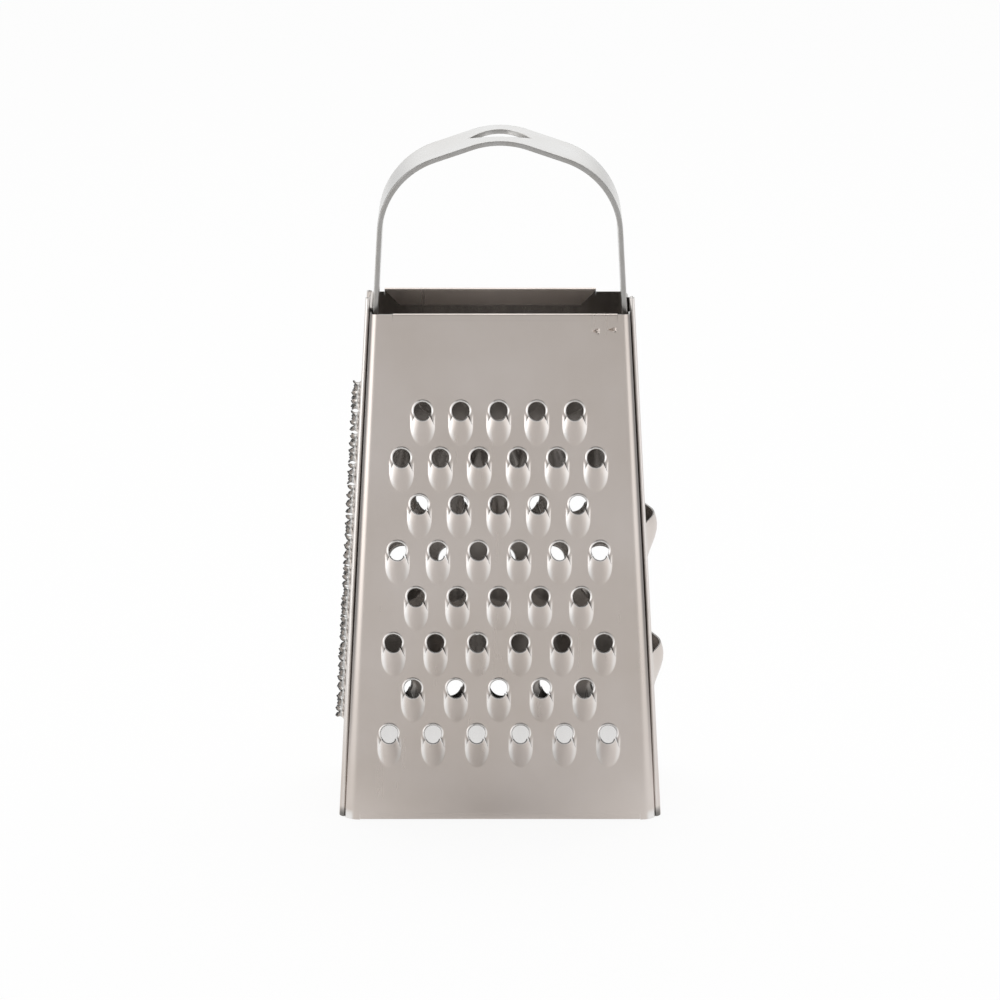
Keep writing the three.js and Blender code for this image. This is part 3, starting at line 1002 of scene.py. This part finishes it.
# The columns of a side panel's hook, up to a height, with their painted highlights and painted shade
def hookColumns(paths, zHigh, toFace):
    columns = []
    sheenMarks = []
    shades = []
    for i, (low, high) in enumerate(zip(*paths)):
        isNose = i < len(paths[0]) - 1
        slant = Vector(seam["slant"]) * ((low.y - paths[0][0].y) / (2 * foldRadius) * isNose)
        columns.append(columnPoints(low, high, seam["foot"], zHigh, toFace, slant=slant))
        # painted highlight on the nose's outer side and in its groove near the foot, painted shade on
        # its inner side and at the fold's open foot
        turned = (i - 1) / seam["foldSteps"]
        outer = seam["sheenLevel"] * grow(turned, seam["noseSheen"]) if i else 0.0
        groove = seam["sheenAtFoot"] * grow(turned, seam["noseGroove"])
        sheenMarks.append(seamMarks(groove, outer, seam["sheenMarks"], zHigh, 0.0))
        shadeLevel = seam["shadeLevel"] * grow(turned, seam["noseShade"])
        mouth = seam["endShade"] * grow(turned, seam["mouthShade"])
        shades.append(seamMarks(0.0, shadeLevel, seam["shadeFade"], zHigh, mouth))
    return columns, sheenMarks, shades


# Sections of a side panel's hook, at the foot and at the top of the body
def hookPaths():
    paths = []
    for z in (0.0, body["height"]):
        face = -sideReach(z) + body["sheet"] / 2
        hook = face + 2 * foldRadius
        fold = halfDepth(z) - noseDepth(z) - body["sheet"] / 2
        end = halfDepth(z) - seam["flange"] + foldRadius + body["sheet"] / 2 + seam["endGap"]
        corners = [
            Vector((fold - 2 * foldRadius, face)),
            Vector((fold, face)),
            Vector((fold, hook)),
            Vector((end, hook)),
        ]
        paths.append(roundedPath(corners, foldRadii, seam["foldSteps"]))
    return paths


# Blank of a side panel. Its tops are how far its right hook, its left hook and its ear
# reach above or below the body's top.
def coverBlank(name, holes, tops):
    drawn = Sheet()
    toFace = faceMatrix(sideReach).inverted()
    stretch = slopeLength(sideReach) / body["height"]
    paths = hookPaths()
    columns, sheenMarks, shades = hookColumns(paths, body["height"] + tops["right"], toFace)
    drawn.addGrid(columns, paintedSheen=sheenMarks, shade=shades)
    right = [(p.x, p.y) for p in columns[0]]
    columns, sheenMarks, shades = hookColumns(paths, body["height"] + tops["left"], toFace)
    addMirrored(drawn, columns, sheenMarks, shades)
    left = [(-p.x, p.y) for p in columns[0]]
    footHalf = halfDepth(0) - seam["flange"]
    hemHalf = footHalf - hem["endRoom"]
    lowHem = addHem(drawn, hem["foot"], 1, (-hemHalf, hemHalf))
    earTop = (body["height"] + tops["ear"]) * stretch
    rows = earRows(earTop)
    # the ear carries a painted highlight
    drawn.addGrid(rows, paintedSheen=[[seam["sheenLevel"]] * len(row) for row in rows])
    half = ear["width"] / 2
    flat = half - ear["corner"]
    corner = []
    for step in range(ear["steps"] + 1):
        angle = math.pi / 2 * step / ear["steps"]
        u = flat + ear["corner"] * math.cos(angle)
        corner.append((u, earTop - ear["corner"] * (1 - math.sin(angle))))
    crown = [(u, v) for u, v, _ in rows[0]]
    foot = [(-footHalf, right[0][1]), (-footHalf, hem["foot"])]
    outline = (
        right
        + [(half, right[-1][1])]
        + corner
        + crown[::-1]
        + [(-u, v) for u, v in reversed(corner)]
        + [(-half, left[-1][1])]
        + left[::-1]
        + foot
        + lowHem[::-1]
        + [(-u, v) for u, v in reversed(foot)]
    )
    drawn.addFlat(outline, holes)
    return drawn.toObject(name)


raspTops = {"right": 2.5, "left": 0.0, "ear": 0.3}
slicerTops = {"right": -1.5, "left": 2.5, "ear": -0.8}
raspSpring = {
    "bow": 0.2,
    "across": (-12, -10, -8, -7, -6, -4, -2, 0, 2, 4, 6, 7, 8, 10, 12),
    "along": (
        *(4, 8, 12, 18, 24, 32, 40, 48, 56, 64, 72, 80, 86, 92, 96, 100),
        *(102, 103.5, 104.5, 105.5, 106.3, 106.9),
    ),
    "rootLow": 16.0,
    "rootHigh": 12.0,
    "top": 98.0,
    "earFoot": 98.5,
    "earRise": 6.0,
    "earLean": 0.75,
    "earReach": 7.0,
    "legBelow": -0.4,
    "tornAbove": 0.5,
}
slicerSpring = dict(raspSpring, bow=0.0, earLean=0.1, tornAbove=9.0)


# Rasp burrs: the sheet burst outwards into four curled points
burr = {
    "rings": ((1.7, 0.0), (1.5, 0.03), (1.25, 0.18), (1.0, 0.45), (0.86, 0.8)),
    "petals": ((0.84, 1.15, 0.85), (0.95, 1.45, 0.66), (1.12, 1.7, 0.38), (1.34, 1.86, 0.04)),
    "petalHeights": (1.0, 0.86, 0.95, 0.78),
    "petalFlares": (1.0, 0.82, 1.12, 0.95),
    "perPetal": 6,
}
burrRows = {
    "rows": 13,
    "first": 19.7,
    "rise": 5.44,
    "pitchBottom": 5.8,
    "pitchTop": 5.8,
    "count": 3,
    "shift": 0.0,
}
burrSteps = len(burr["petalHeights"]) * burr["perPetal"]
burrPress = dict(plainPress, turnStep=2 * math.pi / burrSteps, turns=3, seed=7, spring=raspSpring)


def burrRing(radius, lift):
    ring = []
    for i in range(burrSteps):
        angle = 2 * math.pi * i / burrSteps
        ring.append(Vector((radius * math.cos(angle), radius * math.sin(angle), lift + midFace)))
    return ring


def burrObject(name):
    drawn = Sheet()
    rings = [burrRing(radius, lift) for radius, lift in burr["rings"]]
    drawn.addGrid(rings, closed=True)
    base = burr["rings"][-1]
    for petal, (tall, flare) in enumerate(zip(burr["petalHeights"], burr["petalFlares"])):
        rows = []
        for radius, lift, share in (base + (1.0,), *burr["petals"]):
            row = []
            for k in range(burr["perPetal"] + 1):
                spread = (k / burr["perPetal"] - 0.5) * share
                angle = math.pi / 2 * (petal + 0.5 + spread)
                reach = base[0] + (radius - base[0]) * flare
                height = base[1] + (lift - base[1]) * tall
                row.append((reach * math.cos(angle), reach * math.sin(angle), height + midFace))
            rows.append(row)
        drawn.addGrid(rows)
    return drawn.toObject(name)


def raspPanel():
    places = fanRows(burrRows)
    border = burrRing(burr["rings"][0][0], 0.0)
    blank = coverBlank("raspBlank", atPlaces(border, places), raspTops)
    return pressPanel("raspFace", blank, burrObject("raspBurr"), places, sideReach, -90, burrPress)


raspFace = raspPanel()


# Slicing lips: a wide bulge below each slot, cut off along its edge
lip = {
    "width": 16.0,
    "length": 9.8,
    "height": 2.4,
    "roundness": 1.6,
    "crest": 2.3,
    "slotHeight": 5.0,
    "slotCorner": 1.6,
    "rings": (0.0, 0.06, 0.14, 0.24, 0.36, 0.5, 0.62, 0.74, 0.84, 0.92, 0.97, 1.0),
    "steps": 40,
    "cornerSteps": 6,
}
lipRows = {"rows": 2, "first": 32.7, "rise": 27.7}


# The lip's outline below its edge, from its left end round to its right one
def lipOutline():
    half = lip["width"] / 2
    drop = lip["length"] - lip["crest"]
    start = math.asin(lip["crest"] / drop)
    points = []
    for i in range(lip["steps"] + 1):
        angle = lerp(math.pi - start, 2 * math.pi + start, i / lip["steps"])
        points.append((half * math.cos(angle), drop * math.sin(angle) - lip["crest"]))
    return points


def lipLift(u, v):
    across = u / (lip["width"] / 2)
    along = (v + lip["crest"]) / (lip["length"] - lip["crest"])
    share = min(1.0, math.hypot(across, along))
    return lip["height"] * math.cos(share * math.pi / 2) ** lip["roundness"] if share < 1 else 0.0


def lipObject(name):
    drawn = Sheet()
    outline = lipOutline()
    end = outline[-1][0]
    rows = []
    for ring in lip["rings"]:
        row = []
        for i, (u, v) in enumerate(outline):
            edge = -end * math.cos(math.pi * i / lip["steps"])
            place = (lerp(edge, u, ring), lerp(0.0, v, ring))
            row.append((*place, lipLift(*place) + midFace))
        rows.append(row)
    drawn.addGrid(rows[::-1])
    return drawn.toObject(name)


def slotOutline():
    outline = lipOutline()
    end = outline[-1][0]
    corner = lip["slotCorner"]
    top = []
    for side in (1, -1):
        for step in range(lip["cornerSteps"] + 1):
            share = step / lip["cornerSteps"]
            angle = math.pi / 2 * (share if side > 0 else 1 - share)
            u = side * (end - corner + corner * math.cos(angle))
            top.append((u, lip["slotHeight"] - corner + corner * math.sin(angle)))
    return outline + top


def slicerPanel():
    places = [(0.0, lipRows["first"] + row * lipRows["rise"]) for row in range(lipRows["rows"])]
    blank = coverBlank("slicerBlank", atPlaces(slotOutline(), places), slicerTops)
    press = dict(plainPress, spring=slicerSpring)
    return pressPanel("slicerFace", blank, lipObject("slicerLip"), places, sideReach, 90, press)


slicerFace = slicerPanel()


# Handle: one strap bent to a low gable, with a pointed eye at its peak
strap = {
    "peak": 138.5,
    "width": 14.0,
    "thickness": 1.0,
    "seat": 8.0,
    "flangeGap": 0.2,
    "crownSlope": 19.0,
    "shoulderRadius": 16.0,
    "peakRadius": 17.0,
    "eyeLength": 12.0,
    "eyeWidth": 6.4,
    "edge": 0.16,
    "edgeSteps": 3,
    "edgeDegrees": 50,
    "normalWeight": 70,
    "bendSteps": 24,
    "spacing": 0.5,
    "acrossSteps": 6,
}


def strapPath():
    slope = math.radians(strap["crownSlope"])
    inset = body["sheet"] + strap["flangeGap"] + strap["thickness"] / 2

    def legX(z):
        return halfWidth(z) - inset

    lean = legX(0) - legX(1)
    ridge = strap["peak"] - strap["thickness"] / 2
    ridge += strap["peakRadius"] * (1 / math.cos(slope) - 1)
    shoulderX = (legX(0) - lean * ridge) / (1 - lean * math.tan(slope))
    shoulderZ = ridge - shoulderX * math.tan(slope)
    foot = body["height"] - strap["seat"]
    right = [Vector((legX(foot), foot)), Vector((shoulderX, shoulderZ))]
    corners = [*right, Vector((0, ridge)), *[Vector((-p.x, p.y)) for p in reversed(right)]]
    radii = [strap["shoulderRadius"], strap["peakRadius"], strap["shoulderRadius"]]
    return roundedPath(corners, radii, strap["bendSteps"])


# Even stations along a path, so that the eye and the brush marks have steps to follow
def evenStations(path, spacing):
    stations = [path[0]]
    for a, b in zip(path, path[1:]):
        count = max(1, round((b - a).length / spacing))
        stations.extend(a.lerp(b, i / count) for i in range(1, count + 1))
    return stations


def handleStrap():
    drawn = Sheet()
    stations = evenStations(strapPath(), strap["spacing"])
    half = strap["width"] / 2
    for side in (1, -1):
        rows = []
        for place in stations:
            across = place.x / (strap["eyeLength"] / 2)
            eye = max(0.0, 1 - across * across) * strap["eyeWidth"] / 2
            eye = eye if place.y > body["height"] else 0.0
            steps = strap["acrossSteps"]
            row = [(place.x, side * lerp(eye, half, i / steps), place.y) for i in range(steps + 1)]
            rows.append(row if side > 0 else row[::-1])
        drawn.addGrid(rows)
    handle = drawn.toObject("strapHandle")
    tidySheet(handle)
    handle.data.materials.append(brightSteel)
    handle.data.materials.append(cutSteel)
    handle.data.shade_smooth()
    wall = handle.modifiers.new("wall", "SOLIDIFY")
    wall.thickness = strap["thickness"] * mm
    wall.offset = 0.0
    wall.use_even_offset = True
    wall.material_offset_rim = 1
    edge = handle.modifiers.new("edge", "BEVEL")
    edge.width = strap["edge"] * mm
    edge.segments = strap["edgeSteps"]
    edge.limit_method = "ANGLE"
    edge.angle_limit = math.radians(strap["edgeDegrees"])
    edge.material = 1
    level = handle.modifiers.new("level", "WEIGHTED_NORMAL")
    level.mode = "FACE_AREA"
    level.weight = strap["normalWeight"]
    settle(handle)
    print("bent strapHandle", len(handle.data.polygons), "faces")
    return handle


handle = handleStrap()

# Every piece rides on the one body, and stands for its node
for piece, node, slotName in (
    (mediumPanel, "medium_panel", "satin_steel"),
    (coarsePanel, "coarse_panel", "satin_steel"),
    (raspFace, "rasp_panel", "satin_steel"),
    (slicerFace, "slicer_panel", "satin_steel"),
    (handle, "handle_strap", "bright_steel"),
):
    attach(piece, "root")
    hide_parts(node)


# Studio: a white floor and backdrop, a bright card on either side and a dim room around
studio = {
    "floorSize": 6.0,
    "floorColor": (0.95, 0.95, 0.945),
    "floorGlow": 0.9,
    "whiteColor": (1.0, 1.0, 1.0),
    "roomColor": (0.1, 0.098, 0.095),
    "backReach": (0.0, 0.1),
    "backdropReach": (0.4, 0.28),
    "skyReach": (0.16, 0.3),
    "ceilingReach": (0.7, 0.85),
    "frontReach": (0.3, 0.12),
    "frontTurn": (-0.3, -0.6),
    "frontLevel": 0.77,
    "frontFloor": (0.77, 0.765, 0.76),
    "wedgeSplay": 0.8,
    "wedgeEdge": (-0.02, 0.03),
    "wedgeEnd": (-0.02, -0.012),
}


def makeFloor():
    half = studio["floorSize"] / 2
    mesh = bpy.data.meshes.new("floor")
    corners = [(-half, -half, 0), (half, -half, 0), (half, half, 0), (-half, half, 0)]
    mesh.from_pydata(corners, [], [(0, 1, 2, 3)])
    floor = bpy.data.objects.new("floor", mesh)
    scene.collection.objects.link(floor)
    paper = bpy.data.materials.new("paleFloor")
    paper.use_nodes = True
    nodes = paper.node_tree.nodes
    links = paper.node_tree.links
    nodes.remove(nodes["Principled BSDF"])
    matte = nodes.new("ShaderNodeBsdfDiffuse")
    glow = nodes.new("ShaderNodeEmission")
    glow.inputs["Color"].default_value = (1, 1, 1, 1)
    # straight in front of the object the floor is greyer, which its front face mirrors
    tools = NodeTools(paper.node_tree, "Object")
    x, y, _ = tools.axes()
    path = nodes.new("ShaderNodeLightPath")
    ahead = tools.join("MULTIPLY", y, studio["wedgeSplay"])
    aside = tools.join("ADD", tools.join("ABSOLUTE", x, 0.0), ahead)
    beside = tools.ramp(aside, studio["wedgeEdge"])
    beside = tools.join("MAXIMUM", beside, tools.ramp(y, studio["wedgeEnd"]))
    pale = tools.join("MAXIMUM", beside, path.outputs["Is Camera Ray"])
    color = tools.mix(pale, studio["frontFloor"], studio["floorColor"])
    links.new(color, matte.inputs["Color"])
    mirrored = tools.join(
        "MAXIMUM", path.outputs["Is Glossy Ray"], path.outputs["Is Transmission Ray"]
    )
    mirrored = tools.join("MULTIPLY", mirrored, beside)
    seen = tools.join("MAXIMUM", mirrored, path.outputs["Is Camera Ray"])
    mixed = nodes.new("ShaderNodeMixShader")
    links.new(tools.join("MULTIPLY", seen, studio["floorGlow"]), mixed.inputs["Fac"])
    links.new(matte.outputs["BSDF"], mixed.inputs[1])
    links.new(glow.outputs["Emission"], mixed.inputs[2])
    links.new(mixed.outputs["Shader"], nodes["Material Output"].inputs["Surface"])
    mesh.materials.append(paper)


def makeWorld():
    world = bpy.data.worlds.new("studio")
    scene.world = world
    world.use_nodes = True
    backdrop = world.node_tree.nodes["Background"]
    tools = NodeTools(world.node_tree, "Generated")
    x, y, z = tools.axes()
    ramp = tools.ramp
    join = tools.join
    # behind the object: a narrow backdrop near the floor that widens to the whole back higher up
    arc = ramp(join("ABSOLUTE", x, 0.0), studio["backdropReach"])
    wide = join("MAXIMUM", arc, ramp(z, studio["skyReach"]))
    back = join("MULTIPLY", wide, ramp(y, studio["backReach"]))
    # in front of it: a bright band low down, and a dim room above
    low = join("MULTIPLY", ramp(z, studio["frontReach"]), ramp(y, studio["frontTurn"]))
    front = join("MULTIPLY", low, studio["frontLevel"])
    bright = join("MAXIMUM", join("MAXIMUM", back, front), ramp(z, studio["ceilingReach"]))
    color = tools.mix(bright, studio["roomColor"], studio["whiteColor"])
    world.node_tree.links.new(color, backdrop.inputs["Color"])
    backdrop.inputs["Strength"].default_value = 1.0


# Two cards stand just outside the picture, and one softbox hangs above
lamps = (
    {
        "name": "leftCard",
        "place": (-0.18, -0.155, 0.15),
        "size": (0.21, 0.3),
        "look": (0, -0.12, 0.15),
        "level": 1.0,
        "lightsFloor": False,
    },
    {
        "name": "rightCard",
        "place": (0.18, -0.155, 0.15),
        "size": (0.21, 0.3),
        "look": (0, -0.12, 0.15),
        "level": 0.35,
        "lightsFloor": False,
    },
    {
        "name": "topSoftbox",
        "place": (0.0, 0.1, 0.9),
        "size": (0.9, 0.7),
        "look": (0, 0, 0.05),
        "level": 1.5,
        "lightsFloor": True,
    },
)


# A lamp's level is the brightness of its face, where 1 is white
def makeLamps():
    for lamp in lamps:
        light = bpy.data.lights.new(lamp["name"], "AREA")
        light.shape = "RECTANGLE"
        light.size, light.size_y = lamp["size"]
        light.energy = lamp["level"] * math.pi * light.size * light.size_y
        made = bpy.data.objects.new(lamp["name"], light)
        made.location = lamp["place"]
        made.visible_camera = False
        made.visible_diffuse = lamp["lightsFloor"]
        aim = Vector(lamp["look"]) - made.location
        made.rotation_euler = aim.to_track_quat("-Z", "Y").to_euler()
        scene.collection.objects.link(made)


# Camera: a long lens, square to the medium face and a little above it
view = {
    "distance": 0.82,
    "height": 0.33,
    "pitch": 18.04,
    "lens": 154.4,
    "sensor": 36.0,
    "nearest": 0.01,
}


def makeCamera():
    data = bpy.data.cameras.new("camera")
    data.sensor_width = view["sensor"]
    data.lens = view["lens"]
    data.clip_start = view["nearest"]
    camera = bpy.data.objects.new("camera", data)
    camera.location = (0, -view["distance"], view["height"])
    camera.rotation_euler = (math.radians(90 - view["pitch"]), 0, 0)
    scene.collection.objects.link(camera)
    scene.camera = camera


makeFloor()
makeWorld()
makeLamps()
makeCamera()
scene.view_settings.view_transform = "Standard"
print("studio ready")
